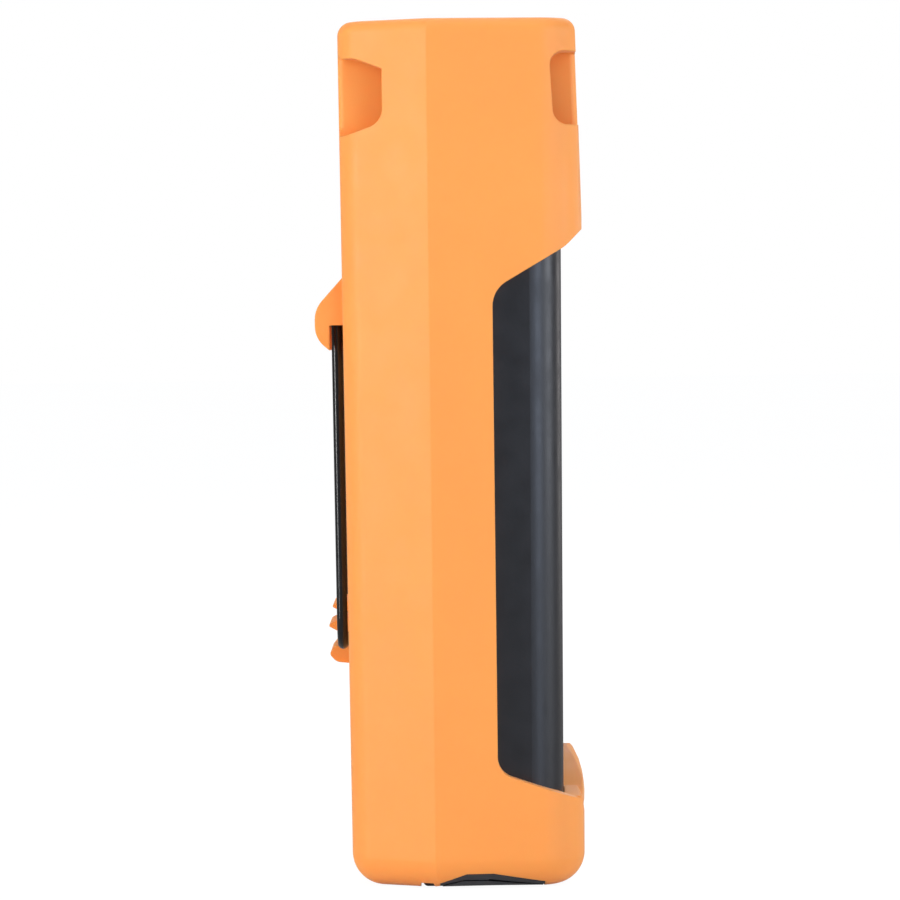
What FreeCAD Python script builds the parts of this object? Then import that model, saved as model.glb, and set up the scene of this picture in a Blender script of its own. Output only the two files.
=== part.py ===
"""Handheld optical power meter: a black instrument in an orange rubber boot with a wire stand.

Millimetres, +Z up. The display faces -Y, the stand is on the +Y side, X runs across the width.
Origin: on the base plane that the meter stands on, under the middle of its overall box. The sizes
below have their Y from the middle of the boot's base, and the finished pieces move together at the end.
"""
import FreeCAD, Part
import math
import os

from FreeCAD import Vector

# ---------------------------------------------------------------- driving dimensions
# Outer form of the boot
boot_height = 185.0
boot_width = 96.0            # across the two side ridges
ridge_y = 7.0                # the ridges lie a little behind the middle
base_front_y = -24.9         # front face at the base plane
base_back_y = 24.9           # back face at the base plane
face_lean = 0.35             # degrees that the front and back faces open out, going up
brow_z = 142.0               # above this the head's front face leans back
brow_lean = 1.6              # degrees
rear_facet = 25.0            # degrees that each rear side facet turns in from the ridge
front_facet = 4.5            # degrees that each front side facet turns in from the ridge
front_corner_r = 10.0
back_corner_r = 7.5
base_edge_r = 7.0
top_edge_r = 3.0

# Boot wall and fit
boot_wall = 3.0
lip_depth = 4.25             # thickness of the boot in front of the instrument's face
fit_gap = 0.2                # between boot and instrument
part_gap = 0.3               # between pieces that move past each other
pin_play = 0.05              # radial, pin in its hole

# Grip cut-outs in the boot's sides, and the front opening
grip_y = -6.4                # straight back edge
grip_low_z = 24.95
grip_high_z = 127.4
grip_low_r = 4.5
grip_high_r = 6.0
grip_low_slope = 19.5        # degrees
grip_high_slope = 30.3       # degrees
grip_flare_y = -22.0         # the upper edge steepens here
grip_flare_slope = 45.0      # degrees
grip_flare_r = 8.0
grip_inner_x = 40.5          # the side cuts reach in to here
chin_z = 21.6                # top of the bottom lip at the middle
chin_low_z = 15.5            # the lip starts to lean back here
chin_fold_z = 19.4
chin_lean = 8.0              # degrees
chin_round = 3.5
window_half = 37.0           # half width between the pillars beside the display
window_top_z = 160.0
window_corner_r = 6.0

# Strap passages through the head's two corners
strap_in_x = 36.0
strap_width = 4.8
strap_low_z = 162.6
strap_high_z = 177.0
strap_corner_r = 2.0
strap_mouth_r = 1.3          # round on the mouths' inner edges
scoop_back_y = 16.5
scoop_front_y = -18.9

# Connector well in the head
well_half_x = 24.0
well_front_y = -13.5
well_back_y = 16.5
well_corner_r = 9.0

# Wire stand, its hood and its latch
wire_r = 1.15
stand_half = 29.5            # middle of each leg
stand_bar_end = 16.0         # inner end of each pivot bar
stand_pivot_z = 122.4
stand_foot_z = 51.0
stand_top_bend = 2.2
stand_foot_bend = 6.0
hood_half = 34.0
hood_reach = 6.0             # how far the hood stands out from the back face
hood_top_z = 130.5
hood_slope = 48.0            # degrees
hood_ledge_z = 120.3
hood_low_z = 114.9
hood_low_rise = 2.6          # height of its tapered lower end
hood_top_r = 6.0
hood_low_r = 5.5
leg_slot = 4.4
latch_half = 11.0
latch_lip_reach = 3.9
latch_rib_reach = 4.5
latch_small_reach = 3.85
latch_rib_z = 54.0           # middle of the lower rib
latch_rib_half = 1.4
latch_small_half = 1.1
latch_spacing = 4.3

# Instrument
body_low_z = 4.0
body_high_z = 165.0
shoulder_z = 157.0
shoulder_half = 33.0
body_front_r = 7.5
body_back_r = 4.3
body_base_r = 3.5
shell_wall = 2.4
split_y = -3.0               # joint plane of the two shells
front_inner_y = -17.0        # inner side of the front wall
panel_y = -19.3              # floor of the recessed front panel
panel_half = 34.0
panel_low_z = 34.0
panel_high_z = 154.0
panel_corner_r = 5.0

# Display
window_w = 62.0
window_h = 45.0
window_t = 1.2
view_w = 55.0
view_h = 37.0
display_z = 126.5
lcd_t = 1.8
lcd_gap = 0.2

# Keys
key_w = 15.0
key_h = 9.0
key_corner_r = 3.0
key_proud = 0.8
key_bevel = 0.4
key_flange = 1.4
key_flange_t = 1.0
key_stem_half = 2.0
key_stem = 2.6
key_travel = 0.6
key_pitch_x = 21.0
key_pitch_z = 17.0
key_rows_z = 81.0            # top row
key_names = (
    ("key_light", "key_wave", "key_unit"),
    ("key_reference", "key_up", "key_store"),
    ("key_power", "key_down", "key_recall"),
)
mat_t = 1.0
dome_half = 3.8

# Boards
board_y = -9.6               # front face
board_t = 1.6
board_half = 36.0
board_tail_half = 29.0
board_low_z = 9.0
board_step_z = 18.5
board_high_z = 147.5
post_r = 2.3
post_x = 33.5
post_low_z = 25.0
post_high_z = 97.0
screw_r = 1.1
screw_head_r = 2.2
screw_head_t = 1.3

# Shell screws
shell_screw_x = 34.5
shell_screw_low_z = 13.0
shell_screw_high_z = 152.4
shell_boss_r = 3.2
shell_screw_r = 1.4
shell_head_r = 2.5
shell_head_t = 2.0
shell_head_depth = 3.2       # seat of the head below the back face

# Batteries
cell_r = 7.1
cell_length = 49.2
cell_nub_r = 2.7
cell_nub = 1.2
cell_pitch = 14.6
cell_count = 4
contact_t = 0.4
contact_room = 3.0
bay_wall = 1.6
bay_low_z = 24.0
cell_gap = 0.3
door_overlap = 1.5
door_t = 2.0
door_tab = 9.0

# Optical port
port_y = 1.0
flange_side = 19.0
flange_t = 1.8
barrel_r = 5.5
barrel_low_z = 150.0
thread_r = 4.5
thread_top_z = 172.0
port_bore_r = 3.0
nut_r = 6.5
nut_low_z = 168.0
nut_high_z = 175.0
knurl_count = 16
knurl_r = 0.45
tip_r = 5.0
tip_z = 182.0
ferrule_bore_r = 1.26
ferrule_depth = 10.0
detector_r = 2.7
detector_h = 3.6
detector_base_h = 0.8
detector_board_r = 7.0

# Hinged dust cap
cap_pivot_y = 13.0
cap_pivot_z = 182.6
cap_knuckle_r = 1.7
cap_knuckle_half = 4.0
cap_ear_half = 8.0
cap_lid_r = 7.0
cap_lid_t = 1.8
cap_skirt = 1.1
cap_skirt_gap = 0.6
cap_pin_r = 0.8
bracket_t = 2.2

# Base: end cap and port cover
end_half = 40.4
end_front_y = -15.9
end_back_y = 10.0
end_flange_low_z = 2.6
end_plug_half = 34.0
end_plug_front_y = -12.5
end_plug_back_y = 6.8
cover_pivot_y = 8.7
cover_pivot_z = 1.25
cover_knuckle_r = 1.1
cover_low_z = 0.15
cover_high_z = 2.25
cover_half = 37.2
cover_pin_r = 0.5
arch_high_z = 1.9
arch_step_y = -4.2
arch_step = 0.25
arch_rise_y = 1.1
arch_end_z = 0.35
lug_inset = 0.7              # the end cap's side lugs lie this far inside the boot's outside
lug_back_y = 5.6
lug_front_y = -13.6
lug_end_z = 0.5
jack_x = -14.0
usb_x = 14.0
socket_low_z = 6.7
socket_high_z = 19.0
jack_side = 9.0
jack_bore_r = 3.1
jack_pin_r = 0.8
usb_w = 9.0
usb_d = 4.6
usb_slot_w = 7.0
usb_slot_d = 2.4
port_hole_gap = 0.3
buzzer_r = 6.0
buzzer_h = 3.0

FAR = 100.0                  # cutters reach past the part by this much
UP = Vector(0, 0, 1)


# ---------------------------------------------------------------- shape helpers
def slope(degrees):
    return math.tan(math.radians(degrees))


def front_y(z):
    return base_front_y - z * slope(face_lean)


def back_y(z):
    return base_back_y + z * slope(face_lean)


def box(x0, x1, y0, y1, z0, z1):
    return Part.makeBox(x1 - x0, y1 - y0, z1 - z0, Vector(x0, y0, z0))


def rod(radius, start, end):
    axis = Vector(*end) - Vector(*start)
    return Part.makeCylinder(radius, axis.Length, Vector(*start), axis)


def mirrored(shape):
    return shape.mirror(Vector(0, 0, 0), Vector(1, 0, 0))


def both_sides(shape):
    return [shape, mirrored(shape)]


def rounded_face(points, radii):
    """Flat face inside a polygon, each corner rounded by its own radius (0 keeps it sharp)."""
    count = len(points)
    edges = []
    entries = []
    for i, corner in enumerate(points):
        to_last = (points[i - 1] - corner).normalize()
        to_next = (points[(i + 1) % count] - corner).normalize()
        half = to_last.getAngle(to_next) / 2
        if radii[i] == 0:
            entries.append((corner, None, corner))
            continue
        leg = radii[i] / math.tan(half)
        middle = (to_last + to_next).normalize()
        centre = corner + middle * (radii[i] / math.sin(half))
        entries.append((corner + to_last * leg, centre - middle * radii[i], corner + to_next * leg))
    for i, (start, middle, end) in enumerate(entries):
        if middle is not None:
            edges.append(Part.Arc(start, middle, end).toShape())
        following = entries[(i + 1) % count][0]
        if (following - end).Length > 1e-6:
            edges.append(Part.makeLine(end, following))
    return Part.Face(Part.Wire(edges))


def side_profile(points, radii, x0, x1):
    """Profile given as (y, z) points, extruded along X from x0 to x1."""
    face = rounded_face([Vector(x0, y, z) for y, z in points], radii)
    return face.extrude(Vector(x1 - x0, 0, 0))


def front_profile(points, radii, y0, y1):
    """Profile given as (x, z) points, extruded along Y from y0 to y1."""
    face = rounded_face([Vector(x, y0, z) for x, z in points], radii)
    return face.extrude(Vector(0, y1 - y0, 0))


def front_plate(x, z, width, height, radius, y0, y1):
    """Rounded plate facing -Y, centred on x and z."""
    w, h = width / 2, height / 2
    points = [(x - w, z - h), (x + w, z - h), (x + w, z + h), (x - w, z + h)]
    return front_profile(points, [radius] * 4, y0, y1)


def round_edges(solid, radius, chosen):
    return solid.makeFillet(radius, [edge for edge in solid.Edges if chosen(edge)])


def lies_at(edge, z):
    return all(abs(vertex.Z - z) < 1e-4 for vertex in edge.Vertexes)


def plan_face(z, side):
    """Plan between the side facets, moved in by side, open-ended to front and back."""
    rear_t, rear_c = slope(rear_facet), math.cos(math.radians(rear_facet))
    fore_t, fore_c = slope(front_facet), math.cos(math.radians(front_facet))
    half, reach = boot_width / 2, boot_width / 2
    shift = (side / fore_c - side / rear_c) / (rear_t + fore_t)
    right = [
        (half - side / fore_c - fore_t * reach, ridge_y - reach),
        (half - side / rear_c - rear_t * shift, ridge_y + shift),
        (half - side / rear_c - rear_t * reach, ridge_y + reach),
    ]
    left = [(-x, y) for x, y in reversed(right)]
    return rounded_face([Vector(x, y, z) for x, y in right + left], [0] * 6)


def round_together(solid, rules):
    """Fillet several groups of edges in one step; rules are (test, radius) pairs."""
    document = FreeCAD.newDocument("rounding")
    base = document.addObject("Part::Feature", "base")
    base.Shape = solid
    fillet = document.addObject("Part::Fillet", "fillet")
    fillet.Base = base
    fillet.Edges = [
        (number, radius, radius)
        for number, edge in enumerate(solid.Edges, 1)
        for chosen, radius in rules if chosen(edge)
    ]
    document.recompute()
    rounded = fillet.Shape.copy()
    FreeCAD.closeDocument(document.Name)
    return rounded


def six_sided_form(z0, z1, side, front, fore_r, back_r, base_r):
    """Form on the meter's plan from z0 to z1, rounded at its upright corners and its base."""
    prism = plan_face(z0, side).extrude(UP * (z1 - z0))
    faces = side_profile(
        [(front_y(z0) + front, z0), (back_y(z0) - side, z0),
         (back_y(z1) - side, z1), (front_y(z1) + front, z1)],
        [0] * 4, -boot_width, boot_width,
    )
    middle_z = (z0 + z1) / 2

    def is_fore_corner(edge):
        point = edge.CenterOfMass
        return abs(point.z - middle_z) < 1.0 and point.y < ridge_y - 5

    def is_back_corner(edge):
        point = edge.CenterOfMass
        return abs(point.z - middle_z) < 1.0 and point.y > ridge_y + 5

    return round_together(prism.common(faces), [
        (is_fore_corner, fore_r),
        (is_back_corner, back_r),
        (lambda edge: lies_at(edge, z0), base_r),
    ])


def body_form(extra):
    """Outer form of the instrument, grown all round by extra."""
    side = boot_wall + fit_gap - extra
    front = lip_depth + fit_gap - extra
    low, high = body_low_z - extra, body_high_z + extra
    corners = (body_front_r + extra, body_back_r + extra, body_base_r + extra)
    solid = six_sided_form(low, high, side, front, *corners)
    above = shoulder_z + extra
    beside = box(shoulder_half + extra, FAR, -FAR, FAR, above, FAR * 2)
    return solid.cut(both_sides(beside))


# ---------------------------------------------------------------- boot
def grip_profile():
    """Side view of the grip cut-out as (y, z) corners with their radii."""
    ahead = -45.0
    low_front = grip_low_z + (ahead - grip_y) * slope(grip_low_slope)
    flare_z = grip_high_z + (grip_y - grip_flare_y) * slope(grip_high_slope)
    high_front = flare_z + (grip_flare_y - ahead) * slope(grip_flare_slope)
    points = [
        (ahead, low_front),
        (grip_y, grip_low_z),
        (grip_y, grip_high_z),
        (grip_flare_y, flare_z),
        (ahead, high_front),
    ]
    return points, [0, grip_low_r, grip_high_r, grip_flare_r, 0]


def front_opening():
    """Cutters through the boot's front: curved chin, open middle, window between the pillars."""
    lip_y = base_front_y + lip_depth / 2
    chin_end_z = grip_low_z + (lip_y - grip_y) * slope(grip_low_slope)
    middle_z = (grip_low_z + grip_high_z) / 2
    arc_ends = (Vector(-grip_inner_x, -FAR, chin_end_z), Vector(grip_inner_x, -FAR, chin_end_z))
    chin = Part.Arc(arc_ends[0], Vector(0, -FAR, chin_z), arc_ends[1]).toShape()
    corners = [
        arc_ends[1],
        Vector(grip_inner_x, -FAR, middle_z),
        Vector(-grip_inner_x, -FAR, middle_z),
        arc_ends[0],
    ]
    straight = [Part.makeLine(a, b) for a, b in zip(corners, corners[1:])]
    lower = Part.Face(Part.Wire([chin] + straight)).extrude(Vector(0, FAR + grip_y, 0))
    points, radii = grip_profile()
    upper = side_profile(points, radii, -grip_inner_x, grip_inner_x)
    upper = upper.common(box(-FAR, FAR, -FAR, FAR, middle_z, FAR * 2))
    window = front_plate(
        0, (middle_z + window_top_z) / 2, window_half * 2, window_top_z - middle_z,
        window_corner_r, -FAR, grip_y,
    )
    return [lower, upper, window]


def strap_cutters():
    """Passage through one corner of the head, and the scoops at its two ends."""
    out_x = strap_in_x + strap_width
    w = [strap_in_x, out_x]
    z = [strap_low_z, strap_high_z]
    passage = front_profile(
        [(w[0], z[0]), (w[1], z[0]), (w[1], z[1]), (w[0], z[1])], [strap_corner_r] * 4, -FAR, FAR
    )
    back = side_profile(
        [(FAR, z[1] + 0.6), (scoop_back_y + 6, z[1]), (scoop_back_y, z[1] - 2.4),
         (scoop_back_y, z[0] + 0.6), (scoop_back_y + 8, z[0] - 2.0), (FAR, z[0] - 2.2)],
        [0, 6.0, 0.4, 4.0, 4.0, 0], strap_in_x, FAR,
    )
    front = side_profile(
        [(-FAR, z[1] + 0.9), (scoop_front_y, z[1] + 0.9), (scoop_front_y - 0.9, z[0] - 0.3),
         (-FAR, z[0] - 0.3)],
        [0, 3.0, 3.2, 0], strap_in_x, FAR,
    )
    front_lean = slope(brow_lean)
    brow_y = front_y(brow_z)
    ends = [(level, back_y(level), brow_y + (level - brow_z) * front_lean)
            for level in (z[0] - 0.3, z[1] + 0.6)]
    axis_x = strap_in_x - strap_mouth_r
    flares = []
    for column, inward, reach in ((1, -1, FAR), (2, 1, -FAR)):
        start, end = [
            (axis_x, end[column] + inward * strap_mouth_r, end[0]) for end in ends
        ]
        near = min(start[1], end[1]) if inward < 0 else max(start[1], end[1])
        corner = box(axis_x, strap_in_x + 1, min(near, reach), max(near, reach), start[2], end[2])
        flares.append(corner.cut(rod(strap_mouth_r, start, end)))
    return [passage, back, front] + flares


def hood():
    """Hollow cover over the stand's pivot, with a slot for each leg."""
    root_y = back_y(stand_pivot_z) - boot_wall / 2
    out_y = back_y(stand_pivot_z) + hood_reach
    inner_y = stand_pivot_y() + wire_r + part_gap
    top_root_z = hood_top_z + boot_wall / 2 * slope(hood_slope)
    top_out_z = hood_top_z - hood_reach * slope(hood_slope)
    points = [
        (root_y, top_root_z), (out_y, top_out_z), (out_y, hood_low_z + hood_low_rise),
        (inner_y, hood_low_z), (inner_y, hood_ledge_z), (root_y, hood_ledge_z),
    ]
    radii = [0, hood_top_r, hood_low_r, 0, 0.3, 0]
    solid = side_profile(points, radii, -hood_half, hood_half)
    pivot = (stand_pivot_y(), stand_pivot_z)
    bore_end = stand_bar_end - part_gap
    outer = stand_half + leg_slot / 2
    slot = box(
        stand_half - leg_slot / 2, outer, back_y(stand_pivot_z), FAR,
        hood_low_z - 5, stand_pivot_z + wire_r + part_gap,
    )
    bore = rod(wire_r + pin_play, (bore_end, *pivot), (outer, *pivot))
    return solid.cut(both_sides(slot) + both_sides(bore))


def latch():
    """Two thumb ribs and a lip on the boot's back, with a groove between for the stand's foot."""
    face = back_y(stand_foot_z)
    root = face - boot_wall / 2
    lip_top = stand_foot_z - wire_r - part_gap
    lip = side_profile(
        [(root, lip_top), (face + 2.8, lip_top), (face + latch_lip_reach, lip_top - 1.8),
         (face + 2.6, lip_top - 3.6), (root, lip_top - 4.1)],
        [0, 0.8, 1.1, 1.6, 0], -latch_half, latch_half,
    )
    ribs = [lip]
    shapes = [
        (latch_rib_z, latch_rib_half, latch_rib_reach),
        (latch_rib_z + latch_spacing, latch_small_half, latch_small_reach),
    ]
    for z, half, reach in shapes:
        points = [
            (root, z - half), (face + reach / 2, z - half), (face + reach, z),
            (face + reach / 2, z + half), (root, z + half),
        ]
        ribs.append(side_profile(points, [0, 0.4, 0.4, 0.4, 0], -latch_half, latch_half))
    return ribs


def chin_cutter():
    """Leans and rolls the bottom lip back towards its upper edge."""
    low_y = front_y(chin_low_z)
    fold_y = low_y + (chin_fold_z - chin_low_z) * slope(chin_lean)
    lip_y = front_y(chin_z) + lip_depth
    points = [
        (low_y, chin_low_z), (fold_y, chin_fold_z), (lip_y, chin_z + 1.0),
        (-FAR, chin_z + 1.0), (-FAR, chin_low_z),
    ]
    return side_profile(points, [0, chin_round, 0, 0, 0], -FAR, FAR)


def arch_cutter():
    """Shallow arch in the boot's bottom edge, through which the port cover shows."""
    front, back = end_front_y - fit_gap, end_back_y + fit_gap
    points = [
        (back, -5), (back, cover_pivot_z), (back - 2.6, cover_pivot_z), (back - 3.0, arch_end_z),
        (arch_rise_y, arch_high_z), (arch_step_y, arch_high_z - 0.1),
        (arch_step_y, arch_high_z - 0.1 + arch_step), (front, arch_end_z), (front, -5),
    ]
    return side_profile(points, [0] * 9, end_half - 4, FAR)


def make_boot():
    solid = six_sided_form(0, boot_height, 0, 0, front_corner_r, back_corner_r, base_edge_r)
    brow_y = front_y(brow_z)
    top_y = brow_y + (boot_height - brow_z) * slope(brow_lean)
    brow = side_profile(
        [(brow_y, brow_z), (top_y, boot_height), (top_y, boot_height + 5),
         (brow_y - 10, boot_height + 5), (brow_y - 10, brow_z)],
        [0] * 5, -FAR, FAR,
    )
    solid = solid.cut(brow)
    solid = round_edges(solid, top_edge_r, lambda edge: lies_at(edge, boot_height))
    solid = solid.fuse([hood()] + latch())
    solid = solid.cut(body_form(fit_gap))
    points, radii = grip_profile()
    cutters = both_sides(side_profile(points, radii, grip_inner_x, FAR))
    cutters += front_opening()
    for cutter in strap_cutters():
        cutters += both_sides(cutter)
    well = rounded_face(
        [Vector(x, y, body_high_z - 1) for x, y in (
            (-well_half_x, well_front_y), (well_half_x, well_front_y),
            (well_half_x, well_back_y), (-well_half_x, well_back_y))],
        [well_corner_r] * 4,
    )
    cutters.append(well.extrude(UP * FAR))
    base = (end_front_y - fit_gap, end_back_y + fit_gap)
    cutters.append(box(-end_half - fit_gap, end_half + fit_gap, *base, -5, body_low_z + 1))
    cutters += both_sides(arch_cutter())
    cutters.append(chin_cutter())
    return solid.cut(cutters).removeSplitter()


# ---------------------------------------------------------------- wire stand
def stand_pivot_y():
    return back_y(stand_pivot_z) + part_gap + wire_r


def stand_foot_y():
    return back_y(stand_foot_z) + part_gap + wire_r


def bent_wire(points, bends, radius):
    """Round wire through points, with a bend of the given radius at each inner point."""
    pieces = []
    start = points[0]
    for i in range(1, len(points) - 1):
        corner = points[i]
        to_last = (points[i - 1] - corner).normalize()
        to_next = (points[i + 1] - corner).normalize()
        half = to_last.getAngle(to_next) / 2
        leg = bends[i - 1] / math.tan(half)
        first, last = corner + to_last * leg, corner + to_next * leg
        middle = (to_last + to_next).normalize()
        centre = corner + middle * (bends[i - 1] / math.sin(half))
        section = Part.Face(Part.Wire(Part.makeCircle(radius, first, to_last)))
        turn = (first - centre).cross(last - centre)
        pieces.append(rod(radius, start, first))
        pieces.append(section.revolve(centre, turn, 180 - math.degrees(2 * half)))
        start = last
    pieces.append(rod(radius, start, points[-1]))
    return pieces[0].fuse(pieces[1:]).removeSplitter()


def make_stand():
    """U of wire whose top ends turn in to pivot."""
    y, z = stand_pivot_y(), stand_pivot_z
    left = [
        Vector(-stand_bar_end, y, z),
        Vector(-stand_half, y, z),
        Vector(-stand_half, stand_foot_y(), stand_foot_z),
    ]
    right = [Vector(-point.x, point.y, point.z) for point in reversed(left)]
    bends = [stand_top_bend, stand_foot_bend]
    return bent_wire(left + right, bends + bends[::-1], wire_r)


# ---------------------------------------------------------------- instrument shells
def shell_cavity():
    inner = body_form(-shell_wall)
    return inner.cut(box(-FAR, FAR, -FAR, front_inner_y, -FAR, FAR * 2))


def shell_screw_places():
    return [(x, z) for x in (-shell_screw_x, shell_screw_x)
            for z in (shell_screw_low_z, shell_screw_high_z)]


def post_places():
    return [(x, z) for x in (-post_x, post_x) for z in (post_low_z, post_high_z)]


def key_places():
    for row, names in enumerate(key_names):
        for column, name in enumerate(names):
            yield name, (column - 1) * key_pitch_x, key_rows_z - row * key_pitch_z


def end_plug(extra, z0, z1):
    half = end_plug_half + extra
    return box(-half, half, end_plug_front_y - extra, end_plug_back_y + extra, z0, z1)


def make_front_shell():
    solid = body_form(0).cut(box(-FAR, FAR, split_y, FAR, -FAR, FAR * 2))
    panel = front_plate(
        0, (panel_low_z + panel_high_z) / 2, panel_half * 2, panel_high_z - panel_low_z,
        panel_corner_r, -FAR, panel_y,
    )
    solid = solid.cut([shell_cavity(), panel])
    bosses = [rod(shell_boss_r, (x, front_inner_y - 1, z), (x, split_y, z))
              for x, z in shell_screw_places()]
    bosses += [rod(post_r, (x, front_inner_y - 1, z), (x, board_y, z))
               for x, z in post_places()]
    solid = solid.fuse([boss.common(body_form(0)) for boss in bosses])
    ledge_y = panel_y + window_t
    cutters = [
        front_plate(0, display_z, window_w + 2 * fit_gap, window_h + 2 * fit_gap, 3.0,
                    -FAR, ledge_y),
        front_plate(0, display_z, view_w, view_h, 1.5, -FAR, 0),
        end_plug(fit_gap, body_low_z - 1, body_low_z + shell_wall + 1),
        rod(barrel_r + fit_gap, (0, port_y, body_high_z - 9), (0, port_y, body_high_z + 1)),
    ]
    for _, x, z in key_places():
        cutters.append(front_plate(
            x, z, key_w + 2 * part_gap, key_h + 2 * part_gap, key_corner_r + part_gap,
            -FAR, front_inner_y + 0.1))
    for x, z in shell_screw_places():
        cutters.append(rod(shell_screw_r, (x, front_inner_y + 2, z), (x, split_y + 1, z)))
    for x, z in post_places():
        cutters.append(rod(screw_r, (x, front_inner_y + 1.5, z), (x, board_y + 1, z)))
    return solid.cut(cutters).removeSplitter()


def bay_size():
    """Inside of the battery bay: half width, low z, high z, floor y."""
    half = cell_pitch * cell_count / 2 + cell_gap
    high = bay_low_z + cell_length + cell_nub + contact_room
    floor = cell_y() - cell_r - cell_gap
    return half, bay_low_z, high, floor


def cell_y():
    """Cell axis: the cells lie just inside the battery door."""
    return back_y(bay_low_z) - boot_wall - fit_gap - door_t - cell_gap - cell_r


def door_outline(extra, y0):
    half, low, high, _ = bay_size()
    wide = door_overlap + extra
    plate = box(-half - wide, half + wide, y0, FAR, low - wide, high + wide)
    tab = box(-door_tab - extra, door_tab + extra, y0, FAR, low - wide, high + wide + door_tab)
    return plate.fuse(tab)


def door_inner_y():
    return back_y(bay_low_z) - boot_wall - fit_gap - door_t


def door_screw_place():
    high = bay_size()[2]
    return 0.0, high + door_overlap + door_tab / 2


def make_rear_shell():
    solid = body_form(0).cut(box(-FAR, FAR, -FAR, split_y, -FAR, FAR * 2))
    solid = solid.cut(shell_cavity())
    half, low, high, floor = bay_size()
    wall = bay_wall
    tray = box(-half - wall, half + wall, floor - wall, FAR, low - wall, high + wall)
    _, screw_z = door_screw_place()
    bosses = [rod(shell_boss_r, (x, split_y, z), (x, FAR, z)) for x, z in shell_screw_places()]
    bosses.append(rod(shell_boss_r, (0, door_inner_y() - 6, screw_z), (0, FAR, screw_z)))
    bosses.append(tray)
    solid = solid.fuse([boss.common(body_form(0)) for boss in bosses])
    cutters = [
        box(-half, half, floor, FAR, low, high),
        door_outline(fit_gap, door_inner_y()),
        end_plug(fit_gap, body_low_z - 1, body_low_z + shell_wall + 1),
        rod(barrel_r + fit_gap, (0, port_y, body_high_z - 9), (0, port_y, body_high_z + 1)),
        rod(screw_r, (0, door_inner_y() - 5, screw_z), (0, door_inner_y() + 1, screw_z)),
    ]
    for x, z in shell_screw_places():
        seat = back_y(z) - boot_wall - fit_gap - shell_head_depth
        cutters.append(rod(shell_screw_r, (x, split_y - 1, z), (x, seat + 1, z)))
        cutters.append(rod(shell_head_r + fit_gap, (x, seat, z), (x, FAR, z)))
    return solid.cut(cutters).removeSplitter()


def make_battery_door():
    solid = body_form(0).common(door_outline(0, door_inner_y()))
    _, z = door_screw_place()
    seat = door_inner_y() + door_t - screw_head_t
    holes = [
        rod(screw_r + fit_gap, (0, 0, z), (0, FAR, z)),
        rod(screw_head_r + fit_gap, (0, seat, z), (0, FAR, z)),
    ]
    return solid.cut(holes)


def end_lug():
    """Side of the end cap beside the port cover, with a lug that fills the boot's arch."""
    inner_x = cover_half + part_gap
    form = six_sided_form(
        cover_low_z, base_edge_r + 2, lug_inset, lug_inset, front_corner_r - lug_inset,
        back_corner_r - lug_inset, base_edge_r - lug_inset,
    )
    points = [
        (lug_back_y, cover_low_z), (lug_back_y, lug_end_z),
        (arch_rise_y, arch_high_z - fit_gap), (arch_step_y, arch_high_z - fit_gap - 0.1),
        (lug_front_y, lug_end_z), (lug_front_y, cover_low_z),
    ]
    lug = side_profile(points, [0] * 6, inner_x, FAR).common(form)
    side = box(inner_x, end_half, end_front_y, cover_pivot_y, cover_low_z, end_flange_low_z)
    return lug.fuse(side)


def make_end_cap():
    """Closes the bottom end round the two sockets, and carries the port cover's hinge."""
    flange = box(-end_half, end_half, end_front_y, end_back_y, end_flange_low_z, body_low_z)
    solid = flange.fuse([end_plug(0, body_low_z, body_low_z + shell_wall)] + both_sides(end_lug()))
    y, z = cover_pivot_y, cover_pivot_z
    r = cover_knuckle_r
    for sign in (-1, 1):
        x0, x1 = sign * (cover_half + part_gap), sign * end_half
        low, high = min(x0, x1), max(x0, x1)
        ear = rod(r, (low, y, z), (high, y, z))
        web = box(low, high, y - r, y + r, z, end_flange_low_z)
        solid = solid.fuse([ear, web])
    cutters = [
        rod(cover_pin_r, (-end_half + 0.8, y, z), (end_half - 0.8, y, z)),
        rod(jack_bore_r + port_hole_gap, (jack_x, socket_y(), 0), (jack_x, socket_y(), 9)),
    ]
    w, d = usb_slot_w / 2 + port_hole_gap, usb_slot_d / 2 + port_hole_gap
    cutters.append(box(usb_x - w, usb_x + w, usb_y() - d, usb_y() + d, 0, 9))
    clear = cover_knuckle_r + part_gap
    cutters.append(rod(clear, (-cover_half - part_gap, y, z), (cover_half + part_gap, y, z)))
    return solid.cut(cutters).removeSplitter()


# ---------------------------------------------------------------- base cover and sockets
def socket_y():
    return board_y + board_t + jack_side / 2


def usb_y():
    return board_y + board_t + usb_d / 2


def make_port_cover():
    """Rubber flap under the sockets, hinged along its rear edge."""
    flap = box(-cover_half, cover_half, end_front_y + fit_gap, cover_pivot_y,
               cover_low_z, cover_high_z)
    y, z = cover_pivot_y, cover_pivot_z
    barrel = rod(cover_knuckle_r, (-cover_half, y, z), (cover_half, y, z))
    bore = rod(cover_pin_r + pin_play, (-FAR, y, z), (FAR, y, z))
    return flap.fuse(barrel).cut(bore).removeSplitter()


def make_cover_pin():
    half = end_half - 0.8
    return rod(cover_pin_r, (-half, cover_pivot_y, cover_pivot_z),
               (half, cover_pivot_y, cover_pivot_z))


def make_dc_jack():
    y = board_y + board_t
    half = jack_side / 2
    body = box(jack_x - half, jack_x + half, y, y + jack_side, socket_low_z, socket_high_z)
    bore = rod(jack_bore_r, (jack_x, socket_y(), 0), (jack_x, socket_y(), socket_high_z - 2))
    pin = rod(jack_pin_r, (jack_x, socket_y(), socket_low_z + 1),
              (jack_x, socket_y(), socket_high_z - 1))
    return body.cut(bore).fuse(pin).removeSplitter()


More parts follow.
